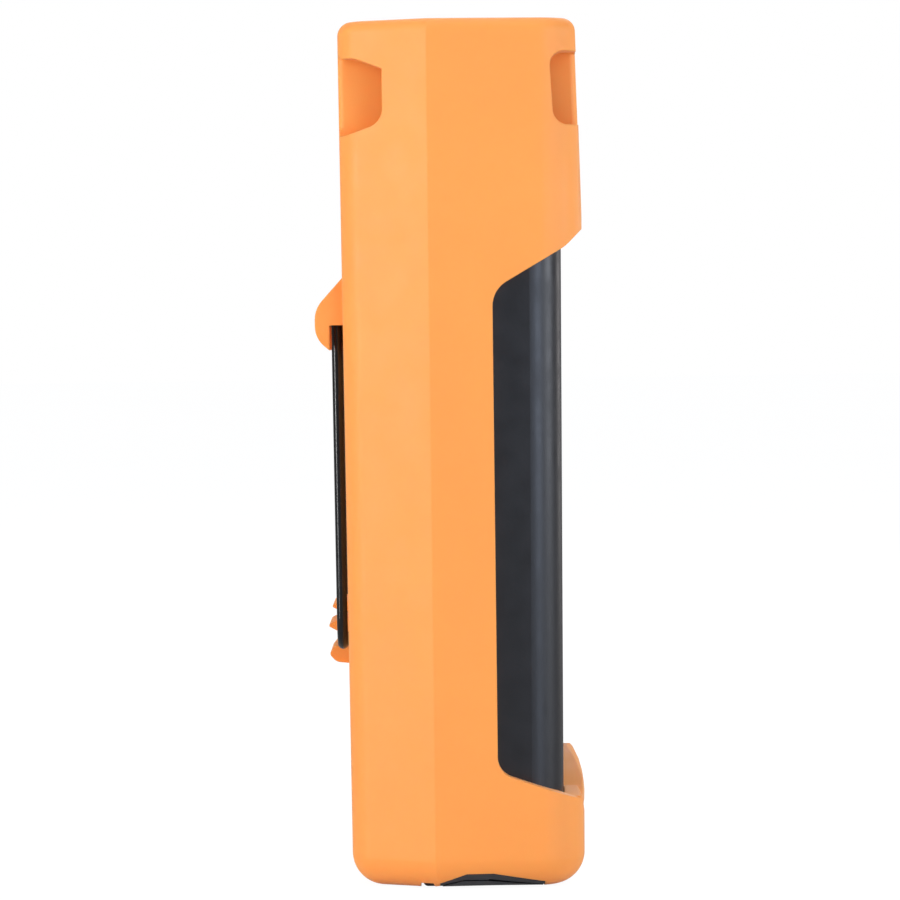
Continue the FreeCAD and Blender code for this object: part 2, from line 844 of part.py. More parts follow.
def make_usb_socket():
    y = board_y + board_t
    body = box(usb_x - usb_w / 2, usb_x + usb_w / 2, y, y + usb_d, socket_low_z,
               socket_high_z - 3)
    slot = box(usb_x - usb_slot_w / 2, usb_x + usb_slot_w / 2, usb_y() - usb_slot_d / 2,
               usb_y() + usb_slot_d / 2, 0, socket_high_z - 5)
    tongue = box(usb_x - usb_slot_w / 2 + 1, usb_x + usb_slot_w / 2 - 1, usb_y() - 0.3,
                 usb_y() + 0.3, socket_low_z + 1, socket_high_z - 4)
    return body.cut(slot).fuse(tongue).removeSplitter()


# ---------------------------------------------------------------- display and keys
def make_window():
    return front_plate(0, display_z, window_w, window_h, 2.8, panel_y, panel_y + window_t)


def lcd_front_y():
    return front_inner_y + lcd_gap


def make_lcd():
    y = lcd_front_y()
    return front_plate(0, display_z, window_w - 2, window_h - 2, 0.5, y, y + lcd_t)


def make_backlight():
    return front_plate(0, display_z, window_w, window_h, 1.0, lcd_front_y() + lcd_t, board_y)


def make_key(x, z):
    cap = front_plate(x, z, key_w, key_h, key_corner_r, panel_y - key_proud,
                      front_inner_y + part_gap)
    rim = [edge for edge in cap.Edges if all(
        abs(vertex.Y - panel_y + key_proud) < 1e-4 for vertex in edge.Vertexes)]
    cap = cap.makeChamfer(key_bevel, rim)
    back = front_inner_y + part_gap + key_flange_t
    w, h = key_w / 2 + key_flange, key_h / 2 + key_flange
    flange = box(x - w, x + w, front_inner_y + part_gap, back, z - h, z + h)
    stem = box(x - key_stem_half, x + key_stem_half, back, back + key_stem,
               z - key_stem_half, z + key_stem_half)
    return cap.fuse([flange, stem]).removeSplitter()


def make_keypad_mat():
    """Silicone sheet on the board with one tapered dome under each key."""
    half = key_pitch_x + key_w / 2 + key_flange
    mid_z = key_rows_z - key_pitch_z
    high = key_pitch_z + key_h / 2 + key_flange
    sheet = front_plate(0, mid_z, half * 2, high * 2, 2.0, board_y - mat_t, board_y)
    stem_end = front_inner_y + part_gap + key_flange_t + key_stem
    dome_end = stem_end + key_travel + part_gap
    tip, root = key_stem_half, dome_half
    domes = [
        Part.makeWedge(x - tip, dome_end, z - tip, z - root, x - root,
                       x + tip, board_y - mat_t, z + tip, z + root, x + root)
        for _, x, z in key_places()
    ]
    return sheet.fuse(domes).removeSplitter()


# ---------------------------------------------------------------- boards and fasteners
def make_main_board():
    wide = box(-board_half, board_half, board_y, board_y + board_t, board_step_z, board_high_z)
    tail = box(-board_tail_half, board_tail_half, board_y, board_y + board_t,
               board_low_z, board_step_z)
    holes = [rod(screw_r + fit_gap, (x, -FAR, z), (x, FAR, z)) for x, z in post_places()]
    return wide.fuse(tail).cut(holes).removeSplitter()


def make_board_parts():
    """Screening can over the input stage, processor, and connectors on the back of the board."""
    y = board_y + board_t
    return Part.makeCompound([
        box(-15, 15, y, y + 5, 114, 142),
        box(-24, -10, y, y + 1.6, 94, 108),
        box(8, 20, y, y + 1.2, 96, 106),
        box(-32, -24, y, y + 4, 60, 76),
    ])


def make_buzzer():
    y = board_y + board_t
    return rod(buzzer_r, (22, y, 40), (22, y + buzzer_h, 40))


def screw(x, z, seat_y, shank_end_y, shank_r, head_r, head_t):
    """Pan-head screw driven along -Y: its head stands on seat_y."""
    head = rod(head_r, (x, seat_y, z), (x, seat_y + head_t, z))
    wide, thin = head_r * 0.6, head_r * 0.14
    low = seat_y + head_t * 0.5
    cross = [
        box(x - across, x + across, low, seat_y + head_t + 1, z - along, z + along)
        for across, along in ((wide, thin), (thin, wide))
    ]
    shank = rod(shank_r, (x, shank_end_y, z), (x, seat_y, z))
    return head.cut(cross).fuse(shank).removeSplitter()


def make_board_screws():
    seat = board_y + board_t
    return Part.makeCompound([
        screw(x, z, seat, front_inner_y + 2, screw_r, screw_head_r, screw_head_t)
        for x, z in post_places()
    ])


def make_shell_screws():
    screws = []
    for x, z in shell_screw_places():
        seat = back_y(z) - boot_wall - fit_gap - shell_head_depth
        screws.append(screw(x, z, seat, front_inner_y + 3, shell_screw_r, shell_head_r,
                            shell_head_t))
    return Part.makeCompound(screws)


def make_door_screw():
    x, z = door_screw_place()
    seat = door_inner_y() + door_t - screw_head_t
    return screw(x, z, seat, door_inner_y() - 4.5, screw_r, screw_head_r, screw_head_t - 0.2)


# ---------------------------------------------------------------- batteries
def cell_places():
    """X of each cell, and whether its nub points up."""
    for i in range(cell_count):
        yield (i - (cell_count - 1) / 2) * cell_pitch, i % 2 == 0


def make_cell(x, nub_up):
    low = bay_low_z + (contact_room if nub_up else cell_nub + contact_t)
    y = cell_y()
    can = rod(cell_r, (x, y, low), (x, y, low + cell_length))
    if nub_up:
        nub = rod(cell_nub_r, (x, y, low + cell_length), (x, y, low + cell_length + cell_nub - contact_t))
    else:
        nub = rod(cell_nub_r, (x, y, low - cell_nub), (x, y, low))
    return can.fuse(nub).removeSplitter()


def make_contacts():
    """Plate at each nub, against the end wall of the bay."""
    plates = []
    half = cell_r - 1.5
    high = bay_size()[2]
    for x, nub_up in cell_places():
        z0 = high - contact_t if nub_up else bay_low_z
        plates.append(box(x - half, x + half, cell_y() - half, cell_y() + half, z0, z0 + contact_t))
    return Part.makeCompound(plates)


def make_springs():
    """Folded leaf spring at each flat cell end: a foot on the bay wall and a sprung tongue."""
    leaves = []
    half = 3.5
    high = bay_size()[2]
    for x, nub_up in cell_places():
        t = contact_t
        y0, y1 = cell_y() - cell_r * 0.6, cell_y() + cell_r * 0.6
        if nub_up:
            wall, end = bay_low_z, bay_low_z + contact_room
        else:
            wall, end = high, bay_low_z + cell_nub + t + cell_length
        rise = end - wall
        up = 1 if rise > 0 else -1
        points = [
            (y0, wall), (y1, wall), (y1, wall + up * t), (y0 + 2 * t, wall + up * t),
            (cell_y() + 1.5, end - up * t), (cell_y() + 3.0, end - up * t), (cell_y() + 3.0, end),
            (cell_y() + 1.3, end), (y0, wall + up * 1.4 * t),
        ]
        leaves.append(side_profile(points, [0] * 9, x - half, x + half))
    return Part.makeCompound(leaves)


# ---------------------------------------------------------------- optical port
def make_port_barrel():
    """Plated fitting through the top wall: flange, barrel for the detector, thread on top."""
    half = flange_side / 2
    top = body_high_z
    flange = box(-half, half, port_y - half, port_y + half, top, top + flange_t)
    low = rod(barrel_r, (0, port_y, barrel_low_z), (0, port_y, top))
    thread = rod(thread_r, (0, port_y, top), (0, port_y, thread_top_z))
    bore = rod(port_bore_r, (0, port_y, 0), (0, port_y, FAR * 2))
    return flange.fuse([low, thread]).cut(bore).removeSplitter()


def make_adapter():
    """Turned adapter: nut on the port's thread, and a tip that takes the ferrule."""
    nut = rod(nut_r, (0, port_y, nut_low_z), (0, port_y, nut_high_z))
    tip = rod(tip_r, (0, port_y, nut_high_z), (0, port_y, tip_z))
    shape = nut.fuse(tip)
    floor = tip_z - ferrule_depth
    cutters = [
        rod(thread_r + pin_play, (0, port_y, nut_low_z - 1), (0, port_y, floor)),
        rod(ferrule_bore_r, (0, port_y, nut_low_z), (0, port_y, tip_z + 1)),
    ]
    for i in range(knurl_count):
        angle = 2 * math.pi * i / knurl_count
        x, y = nut_r * math.cos(angle), port_y + nut_r * math.sin(angle)
        cutters.append(rod(knurl_r, (x, y, nut_low_z - 1), (x, y, nut_high_z + 1)))
    return shape.cut(cutters).removeSplitter()


def make_detector():
    base_z = barrel_low_z + 1.0
    base = rod(port_bore_r - fit_gap / 2, (0, port_y, base_z), (0, port_y, base_z + detector_base_h))
    can = rod(detector_r * 0.85, (0, port_y, base_z), (0, port_y, base_z + detector_h))
    leads = [rod(0.25, (x, port_y, barrel_low_z), (x, port_y, base_z)) for x in (-1.2, 1.2)]
    return base.fuse([can] + leads).removeSplitter()


def make_detector_board():
    return rod(detector_board_r, (0, port_y, barrel_low_z - board_t), (0, port_y, barrel_low_z))


def make_sensor_flex():
    """Flat ribbon from the detector board down to the back of the main board."""
    back = board_y + board_t
    y = port_y - detector_board_r * 0.6
    high = barrel_low_z - board_t
    low = board_high_z - 4.0
    points = [
        (back, low), (back + 0.3, low), (back + 0.3, high - 1.2), (y, high - 0.3), (y + 3, high - 0.3),
        (y + 3, high), (y - 0.2, high), (back, high - 0.9),
    ]
    return side_profile(points, [0] * 8, -4, 4)


def make_cap_bracket():
    """Upright behind the port with two ears for the dust cap's pin."""
    y1 = cap_pivot_y + cap_knuckle_r
    top = cap_pivot_z - cap_knuckle_r - part_gap
    foot = box(-cap_ear_half, cap_ear_half, port_y + flange_side / 2 + 0.3, y1,
               body_high_z, body_high_z + flange_t)
    post = box(-cap_ear_half, cap_ear_half, y1 - bracket_t, y1, body_high_z, top)
    solid = foot.fuse(post)
    pivot = (cap_pivot_y, cap_pivot_z)
    for sign in (-1, 1):
        x0, x1 = sign * (cap_knuckle_half + part_gap), sign * cap_ear_half
        low, high = min(x0, x1), max(x0, x1)
        ear = rod(cap_knuckle_r, (low, *pivot), (high, *pivot))
        web = box(low, high, y1 - bracket_t, y1, top - 1, cap_pivot_z)
        solid = solid.fuse([ear, web])
    hole = rod(cap_pin_r, (-FAR, *pivot), (FAR, *pivot))
    return solid.cut(hole).removeSplitter()


def make_cap_pin():
    return rod(cap_pin_r, (-cap_ear_half, cap_pivot_y, cap_pivot_z),
               (cap_ear_half, cap_pivot_y, cap_pivot_z))


def make_dust_cap():
    low = tip_z + part_gap
    lid = rod(cap_lid_r, (0, port_y, low), (0, port_y, low + cap_lid_t))
    skirt = rod(cap_lid_r, (0, port_y, low - cap_skirt), (0, port_y, low))
    skirt = skirt.cut(rod(tip_r + cap_skirt_gap, (0, port_y, 0), (0, port_y, FAR * 2)))
    arm = box(-cap_knuckle_half, cap_knuckle_half, port_y, cap_pivot_y, low, low + cap_lid_t)
    knuckle = rod(cap_knuckle_r, (-cap_knuckle_half, cap_pivot_y, cap_pivot_z),
                  (cap_knuckle_half, cap_pivot_y, cap_pivot_z))
    hole = rod(cap_pin_r + pin_play, (-FAR, cap_pivot_y, cap_pivot_z),
               (FAR, cap_pivot_y, cap_pivot_z))
    return lid.fuse([skirt, arm, knuckle]).cut(hole).removeSplitter()


# ---------------------------------------------------------------- all pieces
def all_parts():
    parts = {
        "boot": make_boot(),
        "bail_stand": make_stand(),
        "front_shell": make_front_shell(),
        "rear_shell": make_rear_shell(),
        "end_cap": make_end_cap(),
        "port_cover": make_port_cover(),
        "cover_pin": make_cover_pin(),
        "display_window": make_window(),
        "lcd": make_lcd(),
        "backlight": make_backlight(),
        "keypad_mat": make_keypad_mat(),
        "main_board": make_main_board(),
        "board_parts": make_board_parts(),
        "board_screws": make_board_screws(),
        "shell_screws": make_shell_screws(),
        "buzzer": make_buzzer(),
        "dc_jack": make_dc_jack(),
        "usb_socket": make_usb_socket(),
        "battery_door": make_battery_door(),
        "door_screw": make_door_screw(),
        "battery_contacts": make_contacts(),
        "battery_springs": make_springs(),
        "port_barrel": make_port_barrel(),
        "adapter": make_adapter(),
        "detector": make_detector(),
        "detector_board": make_detector_board(),
        "sensor_flex": make_sensor_flex(),
        "cap_bracket": make_cap_bracket(),
        "cap_pin": make_cap_pin(),
        "dust_cap": make_dust_cap(),
    }
    for number, (x, nub_up) in enumerate(cell_places(), 1):
        parts[f"battery_{number}"] = make_cell(x, nub_up)
    for name, x, z in key_places():
        parts[name] = make_key(x, z)
    return parts


def centre_on_base(parts):
    """Moves all pieces together along Y, so that the origin is under the middle of their box."""
    overall = FreeCAD.BoundBox()
    for shape in parts.values():
        overall.add(shape.optimalBoundingBox(False, False))
    for shape in parts.values():
        shape.translate(Vector(0, -overall.Center.y, 0))
    return parts


os.makedirs("parts", exist_ok=True)
for node, shape in centre_on_base(all_parts()).items():
    shape.exportStep(f"parts/{node}.step")
    print(f"{node}: {len(shape.Solids)} solids, valid {shape.isValid()}, {shape.Volume:.0f} mm3")
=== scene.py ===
"""Looks of a booted fibre power meter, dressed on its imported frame."""
import math

import bpy
from mathutils import Matrix, Vector


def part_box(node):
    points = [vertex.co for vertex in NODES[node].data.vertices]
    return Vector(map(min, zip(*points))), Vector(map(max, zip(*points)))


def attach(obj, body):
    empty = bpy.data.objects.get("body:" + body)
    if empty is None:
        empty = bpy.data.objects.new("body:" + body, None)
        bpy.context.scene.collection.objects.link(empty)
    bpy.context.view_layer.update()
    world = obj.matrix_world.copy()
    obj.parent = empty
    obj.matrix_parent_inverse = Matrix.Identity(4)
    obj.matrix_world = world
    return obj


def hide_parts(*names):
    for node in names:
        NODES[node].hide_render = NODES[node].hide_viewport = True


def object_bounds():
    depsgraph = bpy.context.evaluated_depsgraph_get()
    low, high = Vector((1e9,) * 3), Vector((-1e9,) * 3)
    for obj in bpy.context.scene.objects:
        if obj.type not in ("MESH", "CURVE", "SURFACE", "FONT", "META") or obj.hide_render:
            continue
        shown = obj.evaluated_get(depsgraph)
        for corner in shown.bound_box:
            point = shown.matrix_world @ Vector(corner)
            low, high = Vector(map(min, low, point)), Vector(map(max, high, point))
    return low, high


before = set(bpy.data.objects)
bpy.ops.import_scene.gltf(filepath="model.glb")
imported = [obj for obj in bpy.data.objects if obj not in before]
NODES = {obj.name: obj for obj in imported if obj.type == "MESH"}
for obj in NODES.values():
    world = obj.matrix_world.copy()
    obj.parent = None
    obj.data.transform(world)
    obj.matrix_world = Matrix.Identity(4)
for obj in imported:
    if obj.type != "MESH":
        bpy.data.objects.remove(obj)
CAD_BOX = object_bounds()

bl_info = {
    "name": "Booted fibre power meter",
    "version": (1, 0, 0),
    "blender": (4, 5, 0),
    "location": "3D View > Sidebar > Power meter",
    "description": "Finishes, moulded boot, key signs and studio for a booted power meter",
    "category": "Object",
}

MM = 0.001
WHITE = (1.0, 1.0, 1.0)

# Places and sizes on the boot, in millimetres.
BACK_FACE_Y = 22.27             # back of the boot at the thumb ribs
RIB_ROOT = 0.6                  # how far behind that face the ribs' own ends begin
RIB_HALF_WIDTH = 11.5
LIP_BAND = (44.0, 50.0)         # heights between which the lip under the stand's foot lies
RIB_BAND = (52.0, 60.0)         # heights between which the two thumb ribs lie
CHIN_LOW = 11.0                 # where the chin grows out of the bottom lip
CHIN_ROOT = 17.0                # end of its upright part
CHIN_FRONT = -27.8
CHIN_SWELL = 0.8                # how far the chin stands out at the end of its upright part
CHIN_BACK = -22.9
CHIN_FACE = -25.0               # what is in front of this is the chin's face
CHIN_LEVELS = ((19.0, -0.05), (21.4, 0.35), (23.5, 1.0), (25.1, 1.1))   # height, and lean there
CHIN_CREST = 0.9                # lean at the chin's top
CHIN_MIDDLE = 12.0              # half the width of the chin's straight middle
CHIN_SIDES = ((27.0, 0.35), (39.6, 1.25))   # half width, and how far the front turns back there
CHIN_END = 16.0                 # height of the arc at the chin's ends
CHIN_ARC_DEPTH, CHIN_ARC_STEPS = 30.0, 720
ARCH_INNER, ARCH_OUTER = 40.7, 50.0         # across, through the wall of the boot
ARCH_NEAR, ARCH_FAR = -19.2, 3.2            # from front to back, at the bottom edge
ARCH_CROWN = 2.1                # height of the arch's sloping part
ARCH_NEAR_SLOPE, ARCH_FAR_SLOPE = 11.0, 5.7  # run of the slopes at its two ends
LUG_INSET = 0.7                 # how far the end cap's lug lies inside the boot's wall

# Sizes on the display and the port, in millimetres.
BORDER_GAP = 0.06               # between the window's back and the printed border
BORDER_DEPTH = 0.04
BORDER_INSET = 0.4
BORDER_WIDTH = 4.6
BORDER_CORNER = 1.2
SIGN_STROKE = 0.22
SIGN_FLATTENING = 0.2
SLEEVE_RADIUS, SLEEVE_BORE, SLEEVE_DEPTH = 2.1, 1.28, 0.5
SLEEVE_SINK = 0.19              # of the sleeve's middle below the adapter's rim
THREAD_TURNS, THREAD_PITCH, THREAD_RADIUS, THREAD_TOOTH = 2, 0.5, 4.5, 0.3
THREAD_GAP = 0.1                # between the thread and the adapter's nut
THREAD_STEPS = 48               # steps in each turn

# The studio, in metres. A lamp has a place, a width, a height, a share of the lamp strength and
# a tint.
FLOOR_SIZE = 14.0
FLOOR_DROP = 0.0002
FLOOR_SHARE = 0.88              # share of plain white in what is seen of the floor
FLOOR_WHITE, FLOOR_GLOSS = 1.085, 0.255     # its strength to the camera, and in a gloss
SKY_LIGHT, SKY_GLOSS = 0.48, 0.15           # strength of the sky's light, and in a gloss
LAMP_AIM = Vector((0.0, 0.0, 0.09))
CAMERA_AIM_RISE = 0.0012
SENSOR = 36.0
LAMPS = (
    ("softbox_front", (-0.3, -1.1, 0.3), 0.5, 0.5, 0.6, (0.85, 0.9, 1.0)),
    ("softbox_back", (-0.55, 0.95, 0.55), 0.9, 0.9, 0.1, WHITE),
    ("softbox_top", (-0.1, 0.0, 1.2), 0.9, 0.9, 0.6, WHITE),
    ("softbox_far", (0.95, -0.2, 0.7), 0.9, 0.9, 0.6, WHITE),
    ("strip_front", (-0.88, -0.66, 0.25), 0.42, 1.1, 1.0, (0.68, 0.79, 1.0)),
    ("strip_far", (0.65, -0.8, 0.2), 0.3, 0.36, 0.12, (1.0, 0.95, 0.95)),
    ("strip_back", (-0.6, 0.92, 0.25), 0.2, 1.1, 1.7, WHITE),
)

BATTERIES = ("battery_1", "battery_2", "battery_3", "battery_4")
KEYS = ("key_light", "key_wave", "key_unit", "key_reference", "key_up", "key_store", "key_power",
        "key_down", "key_recall")


# ---------------------------------------------------------------- finishes

def shader(name):
    """A new material with its principled shader and an object-space coordinate."""
    made = bpy.data.materials.new(name)
    made.use_nodes = True
    tree = made.node_tree
    principled = tree.nodes["Principled BSDF"]
    place = tree.nodes.new("ShaderNodeTexCoord")
    return made, tree, principled, place.outputs["Object"]


def noise(tree, place, scale, detail=3.0, roughness=0.5):
    """Noise over a place, about 0.5 in the middle."""
    node = tree.nodes.new("ShaderNodeTexNoise")
    node.inputs["Scale"].default_value = scale
    node.inputs["Detail"].default_value = detail
    node.inputs["Roughness"].default_value = roughness
    tree.links.new(place, node.inputs["Vector"])
    return node.outputs["Fac"]


def spread(tree, value, low, high):
    """Spreads the middle of a noise between two values."""
    node = tree.nodes.new("ShaderNodeMapRange")
    node.inputs["From Min"].default_value = 0.3
    node.inputs["From Max"].default_value = 0.7
    node.inputs["To Min"].default_value = low
    node.inputs["To Max"].default_value = high
    tree.links.new(value, node.inputs["Value"])
    return node.outputs["Result"]


def blend_colours(tree, factor, first, second):
    """Blends two plain colours by a factor."""
    node = tree.nodes.new("ShaderNodeMix")
    node.data_type = "RGBA"
    tree.links.new(factor, node.inputs["Factor"])
    for socket, colour in (("A", first), ("B", second)):
        into = [i for i in node.inputs if i.name == socket and i.type == "RGBA"][0]
        into.default_value = (*colour, 1.0)
    return [o for o in node.outputs if o.type == "RGBA"][0]


def bump(tree, height, depth, under=None):
    """Raises a surface by a height, on top of another bump if one is given."""
    node = tree.nodes.new("ShaderNodeBump")
    node.inputs["Distance"].default_value = depth
    tree.links.new(height, node.inputs["Height"])
    if under is not None:
        tree.links.new(under, node.inputs["Normal"])
    return node.outputs["Normal"]


def shade(colour, factor):
    """A colour made darker or lighter."""
    return tuple(min(1.0, c * factor) for c in colour)


def moulded(name, colour, roughness, grain_scale, grain_depth, mottle=0.05, broad=35.0,
            specular=0.5, wave_depth=0.0):
    """Moulded rubber or plastic: broad uneven tone, fine grain and slightly uneven gloss."""
    made, tree, principled, place = shader(name)
    tone = spread(tree, noise(tree, place, broad, 4.0, 0.55), 0.0, 1.0)
    colours = blend_colours(tree, tone, shade(colour, 1.0 - mottle), shade(colour, 1.0 + mottle))
    tree.links.new(colours, principled.inputs["Base Color"])
    gloss = spread(tree, noise(tree, place, broad * 6.0, 3.0), roughness - 0.05, roughness + 0.06)
    tree.links.new(gloss, principled.inputs["Roughness"])
    grain = bump(tree, noise(tree, place, grain_scale, 2.0, 0.6), grain_depth)
    if wave_depth:
        grain = bump(tree, noise(tree, place, broad * 1.6, 2.0), wave_depth, grain)
    tree.links.new(grain, principled.inputs["Normal"])
    principled.inputs["Specular IOR Level"].default_value = specular
    return made


def metal(name, colour, roughness, scratch=900.0, depth=0.000004):
    """Plain metal with fine scratches and slightly uneven gloss."""
    made, tree, principled, place = shader(name)
    tone = spread(tree, noise(tree, place, 60.0, 4.0), 0.0, 1.0)
    colours = blend_colours(tree, tone, shade(colour, 0.9), shade(colour, 1.05))
    tree.links.new(colours, principled.inputs["Base Color"])
    gloss = spread(tree, noise(tree, place, 400.0, 3.0), roughness - 0.07, roughness + 0.09)
    tree.links.new(gloss, principled.inputs["Roughness"])
    scratches = bump(tree, noise(tree, place, scratch, 2.0), depth)
    tree.links.new(scratches, principled.inputs["Normal"])
    principled.inputs["Metallic"].default_value = 1.0
    return made


def arithmetic(tree, operation, *values):
    """A sum or a choice of sockets and plain numbers."""
    node = tree.nodes.new("ShaderNodeMath")
    node.operation = operation
    for socket, value in zip(node.inputs, values):
        if isinstance(value, bpy.types.NodeSocket):
            tree.links.new(value, socket)
        else:
            socket.default_value = value
    return node.outputs[0]


def dress(node, made):
    """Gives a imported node, named, or a piece one finish, in every slot it has."""
    mesh = NODES[node].data if isinstance(node, str) else node.data
    if not mesh.materials:
        mesh.materials.append(made)
    for at in range(len(mesh.materials)):
        mesh.materials[at] = made


def dress_all(nodes, made):
    """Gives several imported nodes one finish."""
    for node in nodes:
        dress(node, made)


# ---------------------------------------------------------------- making pieces

def clear_selection():
    """Leaves edit mode and selects nothing."""
    if bpy.context.object and bpy.context.object.mode != "OBJECT":
        bpy.ops.object.mode_set(mode="OBJECT")
    bpy.ops.object.select_all(action="DESELECT")


def take(piece):
    """Selects one piece and makes it the active one."""
    clear_selection()
    piece.select_set(True)
    bpy.context.view_layer.objects.active = piece


def settle(piece, name, body, made, smooth=None):
    """Names a finished piece, puts its place in its mesh and hangs it on its body."""
    take(piece)
    bpy.ops.object.transform_apply(location=True, rotation=True, scale=True)
    piece.name = name
    piece.data.name = name
    dress(piece, made)
    if smooth is not None:
        bpy.ops.object.shade_smooth_by_angle(angle=smooth)
    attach(piece, body)
    clear_selection()


def moulding_copy(node):
    """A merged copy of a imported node, with its flat faces whole again."""
    made = NODES[node].copy()
    made.data = NODES[node].data.copy()
    made.parent = None
    for key in [k for k in made.keys() if k.startswith("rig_")]:
        del made[key]
    bpy.context.scene.collection.objects.link(made)
    take(made)
    bpy.ops.mesh.customdata_custom_splitnormals_clear()
    bpy.ops.object.mode_set(mode="EDIT")
    bpy.ops.mesh.select_all(action="SELECT")
    bpy.ops.mesh.remove_doubles(threshold=0.004 * MM)
    bpy.ops.mesh.dissolve_limited(angle_limit=math.radians(0.4), delimit=set())
    bpy.ops.object.mode_set(mode="OBJECT")
    return made


def duplicate(piece):
    """A copy of a piece with a mesh of its own."""
    made = piece.copy()
    made.data = piece.data.copy()
    bpy.context.scene.collection.objects.link(made)
    return made


def block(low, high):
    """A box between two corners given in millimetres."""
    clear_selection()
    bpy.ops.mesh.primitive_cube_add(size=1.0)
    made = bpy.context.object
    made.scale = [(b - a) * MM for a, b in zip(low, high)]
    made.location = [(a + b) / 2 * MM for a, b in zip(low, high)]
    bpy.ops.object.transform_apply(location=True, rotation=True, scale=True)
    return made


def pick(piece, test):
    """Leaves a piece in edit mode with the vertices that pass the test selected."""
    take(piece)
    bpy.ops.object.mode_set(mode="EDIT")
    bpy.ops.mesh.select_mode(type="VERT")
    bpy.ops.mesh.select_all(action="DESELECT")
    bpy.ops.object.mode_set(mode="OBJECT")
    for vertex in piece.data.vertices:
        vertex.select = test(vertex.co / MM)
    bpy.ops.object.mode_set(mode="EDIT")


def shift(piece, test, move):
    """Moves the picked vertices by millimetres."""
    pick(piece, test)
    bpy.ops.transform.translate(value=[c * MM for c in move])
    bpy.ops.object.mode_set(mode="OBJECT")


def draw_out(piece, test, move):
    """Extrudes the picked faces by millimetres."""
    pick(piece, test)
    bpy.ops.mesh.extrude_region_move(TRANSFORM_OT_translate={"value": [c * MM for c in move]})
    bpy.ops.object.mode_set(mode="OBJECT")


def cylinder(radius, depth, centre, vertices=64, turn=0.0):
    """A cylinder of a radius and a depth in metres, turned about X."""
    clear_selection()
    bpy.ops.mesh.primitive_cylinder_add(vertices=vertices, radius=radius, depth=depth,
                                        rotation=(turn, 0.0, 0.0), location=centre)
    return bpy.context.object


def modify(piece, kind, **values):
    """Adds one modifier and applies it."""
    take(piece)
    bpy.ops.object.modifier_add(type=kind)
    modifier = piece.modifiers[-1]
    for name, value in values.items():
        setattr(modifier, name, value)
    bpy.ops.object.modifier_apply(modifier=modifier.name)


def combine(piece, tool, operation, keep=False):
    """Joins, cuts or trims a piece with a second solid."""
    modify(piece, "BOOLEAN", operation=operation, object=tool, solver="EXACT")
    if not keep:
        bpy.data.objects.remove(tool)


# ---------------------------------------------------------------- settings

class MeterColours(bpy.types.PropertyGroup):
    """Colours of the meter's main finishes."""
    boot: bpy.props.FloatVectorProperty(
        name="Boot", description="Colour of the rubber boot", subtype="COLOR", size=3,
        min=0.0, max=1.0, default=(0.94, 0.33, 0.062))
    shell: bpy.props.FloatVectorProperty(
        name="Shell", description="Colour of the two instrument shells", subtype="COLOR", size=3,
        min=0.0, max=1.0, default=(0.0045, 0.0042, 0.0065))
    wire: bpy.props.FloatVectorProperty(
        name="Stand wire", description="Colour of the coated stand wire", subtype="COLOR", size=3,
        min=0.0, max=1.0, default=(0.006, 0.006, 0.007))
    cover: bpy.props.FloatVectorProperty(
        name="Base cover", description="Colour of the socket cover and dust cap", subtype="COLOR",
        size=3, min=0.0, max=1.0, default=(0.045, 0.047, 0.052))
    key: bpy.props.FloatVectorProperty(
        name="Keys", description="Colour of the keys", subtype="COLOR", size=3, min=0.0, max=1.0,
        default=(0.16, 0.165, 0.18))


class MeterSizes(bpy.types.PropertyGroup):
    """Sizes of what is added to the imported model."""
    edge_radius: bpy.props.FloatProperty(
        name="Boot edge", description="Radius on the moulded edges of the boot", unit="LENGTH",
        min=0.0001, max=0.001, default=0.00045)
    chin_height: bpy.props.FloatProperty(
        name="Chin height", description="Height of the bottom lip at its centre", unit="LENGTH",
        min=0.0245, max=0.028, default=0.0257)
    arch_rise: bpy.props.FloatProperty(
        name="Arch height", description="Height of the arch in the boot's bottom edge",
        unit="LENGTH", min=0.0025, max=0.0045, default=0.0034)
    rib_stretch: bpy.props.FloatProperty(
        name="Rib stretch", description="How far the thumb ribs are drawn out", unit="NONE",
        min=1.0, max=1.4, default=1.18)
    lip_stretch: bpy.props.FloatProperty(
        name="Lip stretch", description="How far the lip under the stand's foot is drawn out",
        unit="NONE", min=1.0, max=1.4, default=1.28)


class MeterStudio(bpy.types.PropertyGroup):
    """Camera and light."""
    distance: bpy.props.FloatProperty(
        name="Camera distance", description="From the camera to the meter's near side",
        unit="LENGTH", min=0.3, max=3.0, default=0.85)
    field: bpy.props.FloatProperty(
        name="Field", description="Height that the camera takes in at the meter's near side",
        unit="LENGTH", min=0.1, max=0.5, default=0.1901)
    height: bpy.props.FloatProperty(
        name="Camera height", description="Height of the camera above the meter's base",
        unit="LENGTH", min=0.0, max=1.0, default=0.122)
    roll: bpy.props.FloatProperty(
        name="Camera roll", description="Tilt of the camera about its own line of sight",
        subtype="ANGLE", default=math.radians(-0.7))
    lamp: bpy.props.FloatProperty(
        name="Lamp strength", description="Power that the lamps share in", unit="POWER", min=0.0,
        default=5.75)


# ---------------------------------------------------------------- the meter

